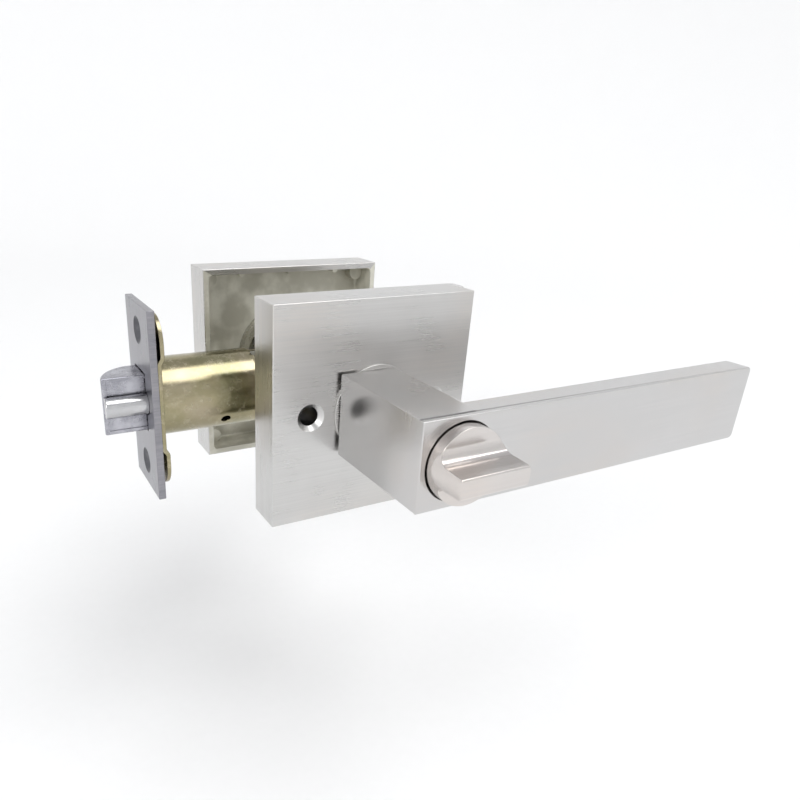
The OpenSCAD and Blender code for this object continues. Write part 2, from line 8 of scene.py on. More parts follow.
# %% Load the frame
import bmesh
import bpy
import json
import math
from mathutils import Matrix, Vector


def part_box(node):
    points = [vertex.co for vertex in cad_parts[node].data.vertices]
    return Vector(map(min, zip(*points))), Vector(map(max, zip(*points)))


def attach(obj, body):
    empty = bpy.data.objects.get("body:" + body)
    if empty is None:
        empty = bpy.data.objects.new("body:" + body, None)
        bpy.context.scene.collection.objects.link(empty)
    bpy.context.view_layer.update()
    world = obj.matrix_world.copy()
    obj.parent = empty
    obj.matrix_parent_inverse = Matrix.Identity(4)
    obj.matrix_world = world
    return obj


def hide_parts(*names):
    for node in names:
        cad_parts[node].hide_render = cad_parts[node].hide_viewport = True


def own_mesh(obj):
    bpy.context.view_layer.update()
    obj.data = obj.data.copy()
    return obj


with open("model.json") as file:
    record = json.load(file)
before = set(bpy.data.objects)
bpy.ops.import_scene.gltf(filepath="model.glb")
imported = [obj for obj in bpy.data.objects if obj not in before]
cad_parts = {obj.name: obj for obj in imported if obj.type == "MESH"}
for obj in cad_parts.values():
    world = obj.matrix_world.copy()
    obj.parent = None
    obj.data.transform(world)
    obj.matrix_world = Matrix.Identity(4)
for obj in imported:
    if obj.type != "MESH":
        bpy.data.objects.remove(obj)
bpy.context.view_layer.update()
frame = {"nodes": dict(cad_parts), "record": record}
MM = 0.001

# %% [markdown]
# ## Small helpers for modelling
# An operator works on whatever is selected, so each helper starts by selecting
# one object and nothing else. Sizes below are in millimetres, as a drawing would
# give them. Depths are measured outwards from the door face, on the side of the
# thumb turn, which is the -Y side.

# %% Selecting and measuring
def only(obj=None):
    """Goes to Object Mode with one object selected, or none."""
    if bpy.context.object and bpy.context.object.mode != "OBJECT":
        bpy.ops.object.mode_set(mode="OBJECT")
    bpy.ops.object.select_all(action="DESELECT")
    if obj:
        obj.select_set(True)
        bpy.context.view_layer.objects.active = obj


def edit_all(obj):
    """Goes to Edit Mode on one object, with all of it selected."""
    only(obj)
    bpy.ops.object.mode_set(mode="EDIT")
    bpy.ops.mesh.select_all(action="SELECT")


def corners(node):
    """Lowest and highest corner of a part, in millimetres."""
    lo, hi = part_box(node)
    return lo / MM, hi / MM


ROSE_LO, ROSE_HI = corners("inside_rose")
DOOR = -ROSE_HI.y           # door face to the middle of the door


def depth(v):
    """Y of a depth v outwards from the door face."""
    return -DOOR - v


print("door is", round(2 * DOOR, 2), "mm thick between the roses")

# %% [markdown]
# Every primitive is only a start. A box and a round bar are placed by their end
# points, and an outline is drawn the way one draws by hand: one corner is
# extruded from point to point, and the loop is closed at the end. A filled
# outline is then pulled into a prism, or an open one is spun round an axis.

# %% Primitives and outlines
def settle(obj, name):
    """Moves an object's place, turn and size into its mesh."""
    bpy.ops.object.transform_apply(location=True, rotation=True, scale=True)
    obj.name = name
    return obj


def block(name, lo, hi):
    only()
    lo, hi = Vector(lo), Vector(hi)
    bpy.ops.mesh.primitive_cube_add(
        size=1, location=(lo + hi) / 2 * MM, scale=(hi - lo) * MM)
    return settle(bpy.context.object, name)


def rod(name, start, end, r, r_end=None, sides=96):
    only()
    start, end = Vector(start), Vector(end)
    turn = (end - start).to_track_quat("Z", "Y").to_euler()
    bpy.ops.mesh.primitive_cone_add(
        vertices=sides, radius1=r * MM, radius2=(r if r_end is None else r_end) * MM,
        depth=(end - start).length * MM, location=(start + end) / 2 * MM, rotation=turn)
    return settle(bpy.context.object, name)


def sketch(name, points, close=True):
    """Draws an outline by extruding one corner from point to point."""
    only()
    points = [Vector(p) * MM for p in points]
    bpy.ops.mesh.primitive_plane_add(size=MM, location=points[0])
    obj = settle(bpy.context.object, name)
    bpy.ops.object.mode_set(mode="EDIT")
    bpy.ops.mesh.select_mode(type="VERT")
    bpy.ops.mesh.merge(type="CENTER")
    for a, b in zip(points, points[1:] + points[:1] if close else points[1:]):
        bpy.ops.mesh.extrude_region_move(TRANSFORM_OT_translate={"value": b - a})
    bpy.ops.mesh.select_all(action="SELECT")
    bpy.ops.mesh.remove_doubles(threshold=1e-7)
    return obj


def prism(name, points, along):
    """A filled outline pulled along a vector."""
    obj = sketch(name, points)
    bpy.ops.mesh.edge_face_add()
    bpy.ops.mesh.extrude_region_move(
        TRANSFORM_OT_translate={"value": Vector(along) * MM})
    bpy.ops.mesh.select_all(action="SELECT")
    bpy.ops.mesh.normals_make_consistent(inside=False)
    only(obj)
    return obj


def lathe(name, points, axis, centre=(0, 0, 0), close=True, steps=96):
    """An outline spun a full turn round an axis."""
    obj = sketch(name, points, close)
    bpy.ops.mesh.spin(
        steps=steps, angle=2 * math.pi, center=Vector(centre) * MM, axis=axis)
    bpy.ops.mesh.select_all(action="SELECT")
    bpy.ops.mesh.remove_doubles(threshold=1e-6)
    bpy.ops.mesh.normals_make_consistent(inside=False)
    only(obj)
    return obj


def turned(name, points, **options):
    """A lathe piece on the spindle axis, from (radius, depth) points."""
    return lathe(name, [(r, depth(v), 0) for r, v in points], (0, 1, 0), **options)


def bar(name, v0, v1, r, x=0, z=0, **options):
    """A round bar along Y between two depths."""
    return rod(name, (x, depth(v0), z), (x, depth(v1), z), r, **options)


def slab(name, x0, x1, v0, v1, z0, z1):
    """A box between two depths."""
    return block(name, (x0, depth(v1), z0), (x1, depth(v0), z1))


def quarter(steps):
    """The angles of a quarter turn, from none to the whole."""
    return [math.radians(90 * i / steps) for i in range(steps + 1)]


def radial(angle):
    """Two unit vectors at an angle round the spindle: outwards, and across."""
    out = Vector((math.cos(angle), 0, math.sin(angle)))
    return out, Vector((-out.z, 0, out.x))


# %% [markdown]
# Three more tools are used all the time. Faces and edges are picked by their
# place, as one would click on them. A modifier is applied at once, so that the
# next step works on plain geometry. A Boolean joins or cuts whole shapes, which
# keeps holes round and walls flat.

# %% Picking, modifiers and Booleans
def pick(obj, kind, test):
    """In Edit Mode, selects faces by (middle, normal) or edges by (end, end)."""
    only(obj)
    bpy.ops.object.mode_set(mode="EDIT")
    bpy.ops.mesh.select_mode(type=kind)
    bpy.ops.mesh.select_all(action="DESELECT")
    mesh = bmesh.from_edit_mesh(obj.data)
    found = 0
    for part in mesh.faces if kind == "FACE" else mesh.edges:
        if kind == "FACE":
            hit = test(part.calc_center_median() / MM, part.normal)
        else:
            hit = test(part.verts[0].co / MM, part.verts[1].co / MM)
        if hit:
            part.select_set(True)
            found += 1
    bmesh.update_edit_mesh(obj.data)
    return found


def round_edges(obj, size, test, segments):
    """Bevels the edges that pass a test."""
    if pick(obj, "EDGE", test):
        bpy.ops.mesh.bevel(offset=size * MM, segments=segments, affect="EDGES")
    only(obj)


def modify(obj, kind, **settings):
    """Adds a modifier and applies it."""
    only(obj)
    modifier = obj.modifiers.new(kind.title(), kind)
    for key, value in settings.items():
        setattr(modifier, key, value)
    bpy.ops.object.modifier_apply(modifier=modifier.name)


def combine(obj, how, *tools):
    """Joins or cuts with other shapes, which are used up."""
    for tool in tools:
        modify(obj, "BOOLEAN", operation=how, object=tool, solver="EXACT")
        bpy.data.meshes.remove(tool.data)
    return obj


def cut(obj, *tools):
    return combine(obj, "DIFFERENCE", *tools)


def add(obj, *tools):
    return combine(obj, "UNION", *tools)


def duplicate(obj, name):
    """A copy of a piece, with its own mesh."""
    copy = bpy.data.objects.new(name, obj.data.copy())
    bpy.context.scene.collection.objects.link(copy)
    return copy


def mirrored(obj, name):
    """A second piece, mirrored to the other face of the door."""
    other = duplicate(obj, name)
    other.scale.y = -1
    only(other)
    settle(other, name)
    edit_all(other)
    bpy.ops.mesh.normals_make_consistent(inside=False)
    only(other)
    return other


# %% [markdown]
# ## Shader maths
# A finish is a small network of nodes. Wrapping a socket in a class that knows
# + - * and > lets a pattern be written as an expression, and each operation adds
# its Math node. One method makes every other kind of node.

# %% A socket that can be calculated with
class Value:
    """One output socket of a finish."""

    def __init__(self, finish, socket):
        self.finish, self.socket = finish, socket

    def math(self, operation, a, b=0.0):
        return self.finish.node("Math", {"operation": operation}, {0: a, 1: b})

    def __add__(self, other): return self.math("ADD", self, other)
    def __radd__(self, other): return self.math("ADD", other, self)
    def __sub__(self, other): return self.math("SUBTRACT", self, other)
    def __rsub__(self, other): return self.math("SUBTRACT", other, self)
    def __mul__(self, other): return self.math("MULTIPLY", self, other)
    def __rmul__(self, other): return self.math("MULTIPLY", other, self)
    def __gt__(self, other): return self.math("GREATER_THAN", self, other)
    def size(self): return self.math("ABSOLUTE", self)

    def span(self, low, high):
        """0 below low, 1 above high, smooth between."""
        return self.finish.node("MapRange", {"interpolation_type": "SMOOTHSTEP"},
                                {0: self, 1: low, 2: high})


class Finish:
    """A material, built round one Principled shader."""

    def __init__(self, name, **constants):
        self.material = bpy.data.materials.new(name)
        self.material.use_nodes = True
        self.tree = self.material.node_tree
        self.shader = self.tree.nodes["Principled BSDF"]
        for key, value in constants.items():
            self.shader.inputs[key.replace("_", " ")].default_value = value
        self.coordinates = self.tree.nodes.new("ShaderNodeTexCoord")

    def node(self, kind, settings, inputs, out=0):
        """Adds a node with its settings, then the values or links of its sockets."""
        made = self.tree.nodes.new("ShaderNode" + kind)
        for key, value in settings.items():
            if key == "stops":
                ramp = made.color_ramp.elements
                while len(ramp) < len(value):
                    ramp.new(0.5)
                for stop, (place, colour) in zip(ramp, value):
                    stop.position, stop.color = place, (*colour, 1)
            else:
                setattr(made, key, value)
        for key, value in inputs.items():
            if isinstance(value, Value):
                self.tree.links.new(value.socket, made.inputs[key])
            else:
                made.inputs[key].default_value = value
        return Value(self, made.outputs[out])

    def place(self, scale, move=(0, 0, 0)):
        """Object coordinates through a Mapping node."""
        return self.node("Mapping", {}, {
            "Vector": Value(self, self.coordinates.outputs["Object"]),
            "Scale": scale, "Location": move})

    def facing(self):
        """The surface direction, split into its three numbers."""
        normal = Value(self, self.coordinates.outputs["Normal"])
        split = self.node("SeparateXYZ", {}, {0: normal})
        outputs = split.socket.node.outputs
        return [Value(self, outputs[i]) for i in range(3)]

    def noise(self, vector, detail, rough=0.5):
        """A noise at the scale that its coordinates already have."""
        return self.node("TexNoise", {}, {
            "Vector": vector, "Scale": 1.0, "Detail": detail, "Roughness": rough})

    def mix(self, factor, a, b):
        """Blends two colours."""
        def full(c):
            return c if isinstance(c, Value) else (*c, 1)
        return self.node("Mix", {"data_type": "RGBA"},
                         {0: factor, 6: full(a), 7: full(b)}, out=2)

    def blend(self, factor, a, b):
        """Blends two numbers."""
        return a + (b - a) * factor

    def set(self, **links):
        """Links values to the shader's sockets."""
        for key, value in links.items():
            self.tree.links.new(value.socket, self.shader.inputs[key.replace("_", " ")])
        return self

    def bump(self, height, distance, strength):
        return self.set(Normal=self.node("Bump", {}, {
            "Strength": strength, "Distance": distance, "Height": height}))


print("helpers ready")

# %% [markdown]
# ## Satin nickel
# The castings are brushed before plating and then lacquered. Brushing leaves fine
# straight scratches along the length of a face, so its highlights spread across
# the strokes. The strokes run along X on faces seen from the front, above and
# below, and along Z on the end faces. Noise stretched 25 to 80 times in one
# direction gives such strokes, and the surface direction decides which way.

# %% Brushed finishes
def strokes(finish, across, along, detail=3.0):
    """Brush strokes as height: along X, or along Z on faces that look along X."""
    x, y, z = finish.facing()
    ends = x.size() > 0.6
    level, upright = [
        finish.noise(finish.place(scale), detail=detail, rough=0.62)
        for scale in ((along, across, across), (across, across, along))]
    return finish.blend(ends, level, upright)


WARM = (1.0, 0.965, 0.935)         # tint of the slow drift in a lacquered finish


def brushed(name, light, dark, rough, depth_mm, across, along, sheen=0.14):
    """A brushed metal: fine strokes, wide faint bands and a cloudy sheen.

    across and along are the noise's scale over and with the strokes, and sheen is
    how far the strokes change the roughness.
    """
    finish = Finish(name, Metallic=1.0)
    fine = strokes(finish, across, along)
    wide = strokes(finish, across / 7, along / 2.5, detail=2.0)
    cloud = finish.noise(finish.place((60, 60, 60)), detail=2.0)
    drift = finish.noise(finish.place((24, 24, 24), move=(5, 2, 7)), detail=1.0)
    tone = (fine * 0.5 + wide * 0.15 + cloud * 0.35).span(0.34, 0.66)
    warm = finish.mix(drift.span(0.42, 0.62), light,
                      [c * w for c, w in zip(light, WARM)])
    finish.set(Base_Color=finish.mix(tone, dark, warm),
               Roughness=rough + (fine - 0.5) * sheen + (cloud - 0.5) * 0.12)
    finish.bump(fine * 0.88 + wide * 0.12, depth_mm * MM, 0.55)
    return finish.material


satin_nickel = brushed("satin_nickel", (0.615, 0.61, 0.60), (0.555, 0.549, 0.54), 0.29,
                       depth_mm=0.0016, across=2100, along=26, sheen=0.10)
lever_nickel = brushed("lever_nickel", (0.610, 0.604, 0.602), (0.580, 0.574, 0.571),
                       0.25, depth_mm=0.0004, across=2400, along=40, sheen=0.03)
turn_nickel = brushed("buffed_nickel", (0.68, 0.65, 0.632), (0.63, 0.598, 0.578), 0.19,
                      depth_mm=0.0003, across=1500, along=30, sheen=0.06)
plate_steel = brushed("plate_steel", (0.33, 0.33, 0.36), (0.24, 0.24, 0.262), 0.30,
                      depth_mm=0.003, across=1500, along=60)
print("brushed finishes:", satin_nickel.name, lever_nickel.name, turn_nickel.name)

# %% [markdown]
# ## The raw back of a casting
# The brush never reaches the hollow back of a rose. There the plating lies on the
# cast skin: warmer, duller, a little lumpy, and stained in soft patches. A second
# slot on the same piece carries this finish for the faces inside the hollow. The
# smaller metal parts are plated castings or pressings of the same kind.

# %% Cast and plated finishes
GRAIN = 1400                       # scale of the fine grain in a cast skin


def cast(name, light, dark, rough, lumps=180, depth_mm=0.02, metal=1.0, spread=0.12):
    """A cast or plated metal: soft patches and a fine grain."""
    finish = Finish(name, Metallic=metal)
    cloud = finish.noise(finish.place((lumps, lumps, lumps)), detail=4.0)
    fine = finish.noise(finish.place((GRAIN, GRAIN, GRAIN)), detail=3.0)
    finish.set(Base_Color=finish.mix(cloud.span(0.36, 0.66), dark, light),
               Roughness=rough + (cloud - 0.5) * 2 * spread + (fine - 0.5) * spread)
    finish.bump(fine * 0.4 + cloud * 0.6, depth_mm * MM, 0.6)
    return finish.material


raw_nickel = cast("raw_cast_nickel", (0.74, 0.725, 0.64), (0.50, 0.485, 0.41), 0.48,
                  lumps=110, metal=0.35, spread=0.08)
bolt_zinc = cast("bolt_zinc", (0.50, 0.50, 0.54), (0.32, 0.32, 0.355), 0.28,
                 depth_mm=0.010)
# A dark steel used only as painted shade in the faceplate's countersinks and holes.
countersink_shade_steel = cast("countersink_shade_steel", (0.20, 0.20, 0.21), (0.11, 0.11, 0.12), 0.40,
                  depth_mm=0.006)
cup_zinc = cast("cup_zinc", (0.66, 0.65, 0.60), (0.46, 0.45, 0.41), 0.28, depth_mm=0.01)
follower_zinc = cast("follower_zinc", (0.62, 0.55, 0.42), (0.42, 0.36, 0.26), 0.42)
inner_steel = cast("inner_steel", (0.62, 0.62, 0.62), (0.48, 0.48, 0.48), 0.26,
                   depth_mm=0.006)
spring_steel = cast("spring_steel", (0.42, 0.42, 0.43), (0.27, 0.27, 0.28), 0.30,
                    depth_mm=0.003)
# Black steel for the small dark parts; on the roses' bore walls it is painted shade.
black_steel = cast("black_steel", (0.060, 0.058, 0.060), (0.028, 0.028, 0.030), 0.42,
                   depth_mm=0.006)
plunger_chrome = cast("plunger_chrome", (0.62, 0.62, 0.63), (0.54, 0.54, 0.55), 0.20,
                      depth_mm=0.0004, spread=0.03)
print("cast and plated finishes ready")

# %% [markdown]
# ## Yellow zinc
# The latch case is steel tube, zinc plated and passivated. The passivate is a thin
# clear film, so its colour drifts from straw to olive and rose from place to
# place, over a mottled, rather glossy metal. Two noises drive it: a slow one for
# the drift of colour and a finer one for the mottling.

# %% Yellow passivated zinc
def passivated(name):
    """A clear coloured film over mottled zinc."""
    finish = Finish(name, Metallic=1.0)
    slow = finish.noise(finish.place((46, 46, 46), move=(3, 1, 2)), detail=2.0)
    tint = finish.node("ValToRGB", {"stops": [
        (0.30, (0.26, 0.255, 0.15)), (0.45, (0.33, 0.295, 0.18)),
        (0.57, (0.39, 0.34, 0.24)), (0.72, (0.35, 0.27, 0.21))]}, {0: slow})
    mottle = finish.noise(finish.place((420, 420, 420)), detail=5.0, rough=0.65)
    speck = finish.noise(finish.place((1500, 1500, 1500)), detail=2.0)
    straw = (0.52, 0.47, 0.35)
    finish.set(Base_Color=finish.mix(mottle.span(0.44, 0.70) * 0.4, tint, straw),
               Roughness=0.18 + mottle.span(0.40, 0.70) * 0.12)
    finish.bump(mottle * 0.7 + speck * 0.3, 0.012 * MM, 0.6)
    return finish.material


yellow_zinc = passivated("yellow_zinc")
print("yellow zinc ready")

# %% [markdown]
# ## Finishing a piece
# Real edges are never knife sharp: a narrow bevel catches the light along each
# one. The Bevel modifier rounds what is still sharp, then smooth shading and
# weighted normals keep the flat faces flat. The piece is then tied to its body
# and stands in for its part of the frame.

# %% Finish, ride and replace
def tidy(obj):
    """Merges doubles and removes edges that lie within a flat face."""
    edit_all(obj)
    bpy.ops.mesh.remove_doubles(threshold=2e-6)
    bpy.ops.mesh.dissolve_limited(angle_limit=math.radians(0.4))
    only(obj)


def complete(obj, node, material, edge, segments=2, limit=32):
    """Rounds the last edges, shades the piece, and puts it in the node's place."""
    tidy(obj)
    if edge:
        modify(obj, "BEVEL", width=edge * MM, segments=segments, limit_method="ANGLE",
               angle_limit=math.radians(limit), use_clamp_overlap=False)
    only(obj)
    bpy.ops.object.shade_smooth_by_angle(angle=math.radians(31))
    modify(obj, "WEIGHTED_NORMAL", keep_sharp=True, weight=50)
    obj.data.materials.clear()
    obj.data.materials.append(material)
    bodies = frame["record"]["behaviour"]["bodies"]
    body = next(b for b, nodes in bodies.items() if node in nodes)
    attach(obj, body)
    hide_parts(node)
    print(f"{obj.name}: {len(obj.data.polygons)} faces, rides on {body}")
    return obj


# %% [markdown]
# ## The two roses
# A rose is a square zinc casting, hollow at the back, with a bored front plate for
# the collar. It could be a box with a smaller box cut out. Inset and extrude give
# the same hollow, and leave the edges in reach for rounding: wide in the cast
# corners inside, narrow and even outside, where the brushing ends.

# %% Model the rose casting
FRONT = -ROSE_LO.y - DOOR             # depth of the front face
WALL, PLATE = 2.0, 2.4                # thickness of the sides and the front plate
HALF = ROSE_HI.x                      # half the side of the square
HOLLOW = FRONT - PLATE                # depth of the hollow's floor
BOLT_X = 21.1                         # through-bolts, from the spindle's axis
PAD_R, PAD_INSET, RIB_R = 2.6, 2.4, 1.0
COLLAR_BORE_R = 11.95
SLEEVE, SLEEVE_R = 8.4, 4.3           # sleeve behind each screw hole
SCREW_HOLE_R, SINK_R, SINK = 2.8, 4.8, 1.4
# Screw bore walls inside this radius are painted black as shade.
BORE_WALL_R = 2.85                    # faces nearer than this are the hole's wall
CUP_ROOM_R = 17.35                    # kept clear round the spring cup
POST_R, THREAD_R, THREAD_TOP = 3.0, 2.1, 9


def rose_blank(name):
    """The hollow square casting, with corner pads, side ribs and its bore."""
    rose = block(name, ROSE_LO, ROSE_HI)
    pick(rose, "FACE", lambda middle, normal: normal.y > 0.9)
    bpy.ops.mesh.inset(thickness=WALL * MM, depth=0)
    bpy.ops.mesh.extrude_region_move(
        TRANSFORM_OT_translate={"value": (0, -HOLLOW * MM, 0)})
    inner = HALF - WALL

    def reach(p):
        return max(abs(p.x), abs(p.z))

    def upright_inside(a, b):
        return abs(a.y - b.y) > 5 and abs(reach(a) - inner) < 0.1

    def round_the_floor(a, b):
        return (max(a.y, b.y) < depth(HOLLOW) + 0.1
                and min(a.y, b.y) > depth(HOLLOW) - 0.1
                and reach((a + b) / 2) > inner - 1.5)

    def outside(a, b):
        return reach(a) > HALF - 0.05 and reach(b) > HALF - 0.05

    round_edges(rose, 1.4, upright_inside, 5)
    round_edges(rose, 0.7, round_the_floor, 3)
    round_edges(rose, 0.3, outside, 3)
    for x in (-1, 1):
        for z in (-1, 1):
            add(rose, bar("pad", HOLLOW - 4, HOLLOW + 1, PAD_R,
                          x * (inner - PAD_INSET), z * (inner - PAD_INSET), sides=48))
    for x in (-18, 0, 18):
        add(rose, bar("rib", HOLLOW - 7, HOLLOW + 1, RIB_R, x, inner - 0.6, sides=32))
    cut(rose, bar("bore", HOLLOW - 1, FRONT + 1, COLLAR_BORE_R))
    return rose


inside_rose = rose_blank("inside_rose_casting")
for side in (-1, 1):
    x = side * BOLT_X
    sleeve = bar("sleeve", HOLLOW - SLEEVE, HOLLOW + 1, SLEEVE_R, x, sides=64)
    cut(sleeve, bar("cup_room", 0, HOLLOW + 0.2, CUP_ROOM_R))
    add(inside_rose, sleeve)
    cut(inside_rose, bar("hole", 0, FRONT + 1, SCREW_HOLE_R, x, sides=64))
    cut(inside_rose, bar("countersink", FRONT - SINK, FRONT + 0.6, SCREW_HOLE_R, x,
                         r_end=SINK_R, sides=64))
print("inside rose:", len(inside_rose.data.polygons), "faces before rounding")

# %% [markdown]
# The outside rose is the same casting turned round, but it holds the screws: two
# posts stand up inside it, drilled for the threads. The hollow of both roses takes
# the raw cast finish, face by face, and the walls of the screw holes painted black shade.

# %% Posts, and the raw cast faces
def paint_hollow(rose, cast_finish, bore_shade_finish):
    """Gives the hollow a second finish, and the screw bores a third, black as painted
    shade.
    """
    rose.data.materials.append(cast_finish)
    rose.data.materials.append(bore_shade_finish)
    inner = (HALF - WALL + 0.05) * MM
    floor = (DOOR + HOLLOW + 0.05) * MM
    for face in rose.data.polygons:
        c, n = face.center, face.normal
        inside = abs(c.x) < inner and abs(c.z) < inner and abs(c.y) < floor
        from_axis = math.hypot(abs(c.x) - BOLT_X * MM, c.z)
        # The bore walls get the black finish as painted shade, so the deep holes look
        # dark.
        bored = from_axis < BORE_WALL_R * MM and abs(n.y) < 0.3
        face.material_index = 2 if bored else int(inside)


outside_rose = rose_blank("outside_rose_casting")
for side in (-1, 1):
    x = side * BOLT_X
    add(outside_rose, bar("post", 1, HOLLOW + 1, POST_R, x, sides=64))
    cut(outside_rose, bar("thread_hole", -1, THREAD_TOP, THREAD_R, x, sides=48))
outside_rose_blank = outside_rose
outside_rose = mirrored(outside_rose_blank, "outside_rose_plate")
bpy.data.meshes.remove(outside_rose_blank.data)
complete(inside_rose, "inside_rose", satin_nickel, edge=0.1)
complete(outside_rose, "outside_rose", satin_nickel, edge=0.1)
paint_hollow(inside_rose, raw_nickel, black_steel)
paint_hollow(outside_rose, raw_nickel, black_steel)

# %% [markdown]
# ## The collars
# A thin flanged ring lines the bore of each rose, and the lever's shank turns in
# it. It is a turned part, so it is spun from its cross-section.

# %% Spin the collars
COLLAR_IN, COLLAR_OUT, FLANGE_R, FLANGE = 10.05, 11.9, 13.7, 0.85

collar = turned("inside_collar_ring", [
    (COLLAR_IN, HOLLOW - 0.8), (COLLAR_OUT, HOLLOW - 0.8), (COLLAR_OUT, FRONT),
    (FLANGE_R, FRONT), (FLANGE_R, FRONT + FLANGE), (COLLAR_IN, FRONT + FLANGE)])
collar_out = mirrored(collar, "outside_collar_ring")
for ring, node in ((collar, "inside_collar"), (collar_out, "outside_collar")):
    complete(ring, node, satin_nickel, edge=0.15, segments=3)

# %% [markdown]
# ## The levers
# Each lever is one casting: a square hub that stands off the rose, and a flat arm
# that tapers a little to its tip. Hub and arm are made as two prisms and joined
# with an exact Boolean, so the inner corner stays crisp, as the real one does.
# The round shank behind the hub turns in the collar, and its keyed end carries
# the drive plate and the retaining ring.

# %% Hub, arm and shank
LEVER_LO, LEVER_HI = corners("inside_lever")
HUB_GAP = 0.35                             # the hub stands this far off its collar
HUB = FRONT + FLANGE + HUB_GAP             # depth of the hub's back face
FACE = -DOOR - LEVER_LO.y                  # depth of the lever's front face
ARM = FACE - 8.0                           # depth of the arm's back face
HUB_LEFT, HUB_RIGHT = -12.5, 6.5
TOP, TIP_TOP = LEVER_HI.z, 12.1            # half height at the hub and at the tip
REACH = LEVER_HI.x
TURN_R = corners("thumb_turn")[1].x
SHANK_R, KEY = 10.0, 8                     # the shank, and half across its flats
GROOVE_R, GROOVE = 7.2, (1.25, 2.25)       # retaining ring's groove, and its depths
SEAT, CHAMBER_R = 4.05, 4.05               # half the spindle's square seat


def sharp_outline(a, b):
    """The long straight edges of the lever's outside, where hub and arm don't meet."""
    m = (a + b) / 2
    if abs(b.y - a.y) > 3:
        return m.x < HUB_LEFT + 0.1
    face = abs(m.y - depth(FACE)) < 0.05
    foot = abs(m.y - depth(HUB)) < 0.05
    back = abs(m.y - depth(ARM)) < 0.05 and m.x > HUB_RIGHT + 0.5
    return face or foot or (back and (abs(abs(m.z) - TOP) < 0.35 or m.x > REACH - 2))


def lever_blank(name):
    """Hub and tapered arm, joined and rounded, with no bores yet."""
    hub = block("hub", (HUB_LEFT, depth(FACE - 2), -TOP), (HUB_RIGHT, depth(HUB), TOP))
    round_edges(hub, 2.0, lambda a, b: min(a.x, b.x) > 6 and abs(a.y - b.y) > 5, 8)
    arm = block(name, (HUB_LEFT, depth(FACE), -TOP), (REACH, depth(ARM), TOP))
    pick(arm, "FACE", lambda middle, normal: normal.x > 0.9)
    bpy.ops.transform.resize(value=(1, 1, TIP_TOP / TOP),
                             center_override=(REACH * MM, 0, 0))
    only(arm)
    round_edges(arm, 1.5, lambda a, b: min(a.x, b.x) > REACH - 1
                and abs(a.y - b.y) > 5, 6)
    add(arm, hub)
    tidy(arm)
    round_edges(arm, 0.32, sharp_outline, 3)
    return arm


def shank(name):
    """The turned back end, keyed by four flats and grooved for its ring."""
    key = bar("key", 0.8, 4.6, SHANK_R)
    combine(key, "INTERSECT", slab("flats", -KEY, KEY, 0, 5, -KEY, KEY))
    low, high = GROOVE
    cut(key, turned("groove", [(GROOVE_R, low), (13, low), (13, high), (GROOVE_R, high)]))
    body = bar(name, 4.5, HUB + 0.6, SHANK_R)
    return add(body, key)


def seat_bores(lever):
    """The bores that both levers have: spindle seat, set screw hole and chamber."""
    y = depth(HUB + 10)
    cut(lever, slab("seat", -SEAT, SEAT, 0, FACE - 14.2, -SEAT, SEAT),
        rod("set_screw_hole", (0, y, -TOP - 1), (0, y, 0), 2.55, sides=48),
        bar("chamber", FACE - 14.3, FACE - 10.2, CHAMBER_R, sides=48))


inside_lever = lever_blank("inside_lever_casting")
add(inside_lever, shank("shank"))
outside_source = duplicate(inside_lever, "outside_source")
print("lever:", len(inside_lever.data.polygons), "faces before its bores")

# %% [markdown]
# The inside lever has a round well in its face for the thumb turn, and the
# outside one only a small release hole. The set screw hole, the spindle's seat and
# the chamber behind it are the same on both.

# %% Bores, then both levers
WELL_GAP = 0.35                            # round the thumb turn's disc
STEM_R, STEM_GAP, RELEASE_R = 3.0, 0.05, 2.05

seat_bores(inside_lever)
cut(inside_lever,
    bar("stem_bore", FACE - 10.3, FACE - 5, STEM_R + STEM_GAP, sides=48),
    bar("well", FACE - 5.6, FACE + 1, TURN_R + WELL_GAP, sides=128))
seat_bores(outside_source)
cut(outside_source, bar("release_bore", FACE - 10.3, FACE + 1, RELEASE_R, sides=48))
outside_lever = mirrored(outside_source, "outside_lever_casting")
bpy.data.meshes.remove(outside_source.data)
complete(inside_lever, "inside_lever", lever_nickel, edge=0.12)
complete(outside_lever, "outside_lever", lever_nickel, edge=0.12)

# %% [markdown]
# ## The thumb turn
# A disc with a grip blade across it. The blade swells into the disc with a wide
# hollow on both sides. One side view, pulled through and trimmed by a round bar,
# gives the disc, the hollows and the blade at once, and their ends follow the
# disc's rim exactly. The stem goes on behind.

# %% Profile the blade and trim it round
DISC, BLADE = FACE + 3.6, FACE + 13.2     # depths of the disc's face and blade's edge
TIP, ROOT = 2.7, 2.9                      # half thickness of the blade, at both ends
SCOOP, CHAMFER = 3.6, 0.4                 # hollow's radius, and the blade's edge


def thumb_turn_blank(name):
    """The side view pulled through, trimmed round, and set on its stem."""
    half = [(BLADE, TIP - CHAMFER), (BLADE - CHAMFER, TIP)]
    half += [(DISC + SCOOP - SCOOP * math.sin(a), ROOT + SCOOP - SCOOP * math.cos(a))
             for a in quarter(12)]
    half += [(DISC, 14), (FACE - 5.25, 14)]
    outline = [(-11.5, depth(v), z) for v, z in half]
    outline += [(-11.5, depth(v), -z) for v, z in reversed(half)]
    turn = prism(name, outline, (23, 0, 0))
    combine(turn, "INTERSECT", bar("rim", FACE - 6, BLADE + 1, TURN_R, sides=160))
    add(turn, bar("stem", FACE - 12.6, FACE - 5, STEM_R, sides=48))
    return turn


turn = thumb_turn_blank("thumb_turn_knob")
complete(turn, "thumb_turn", turn_nickel, edge=0.16, segments=3,
         limit=34)
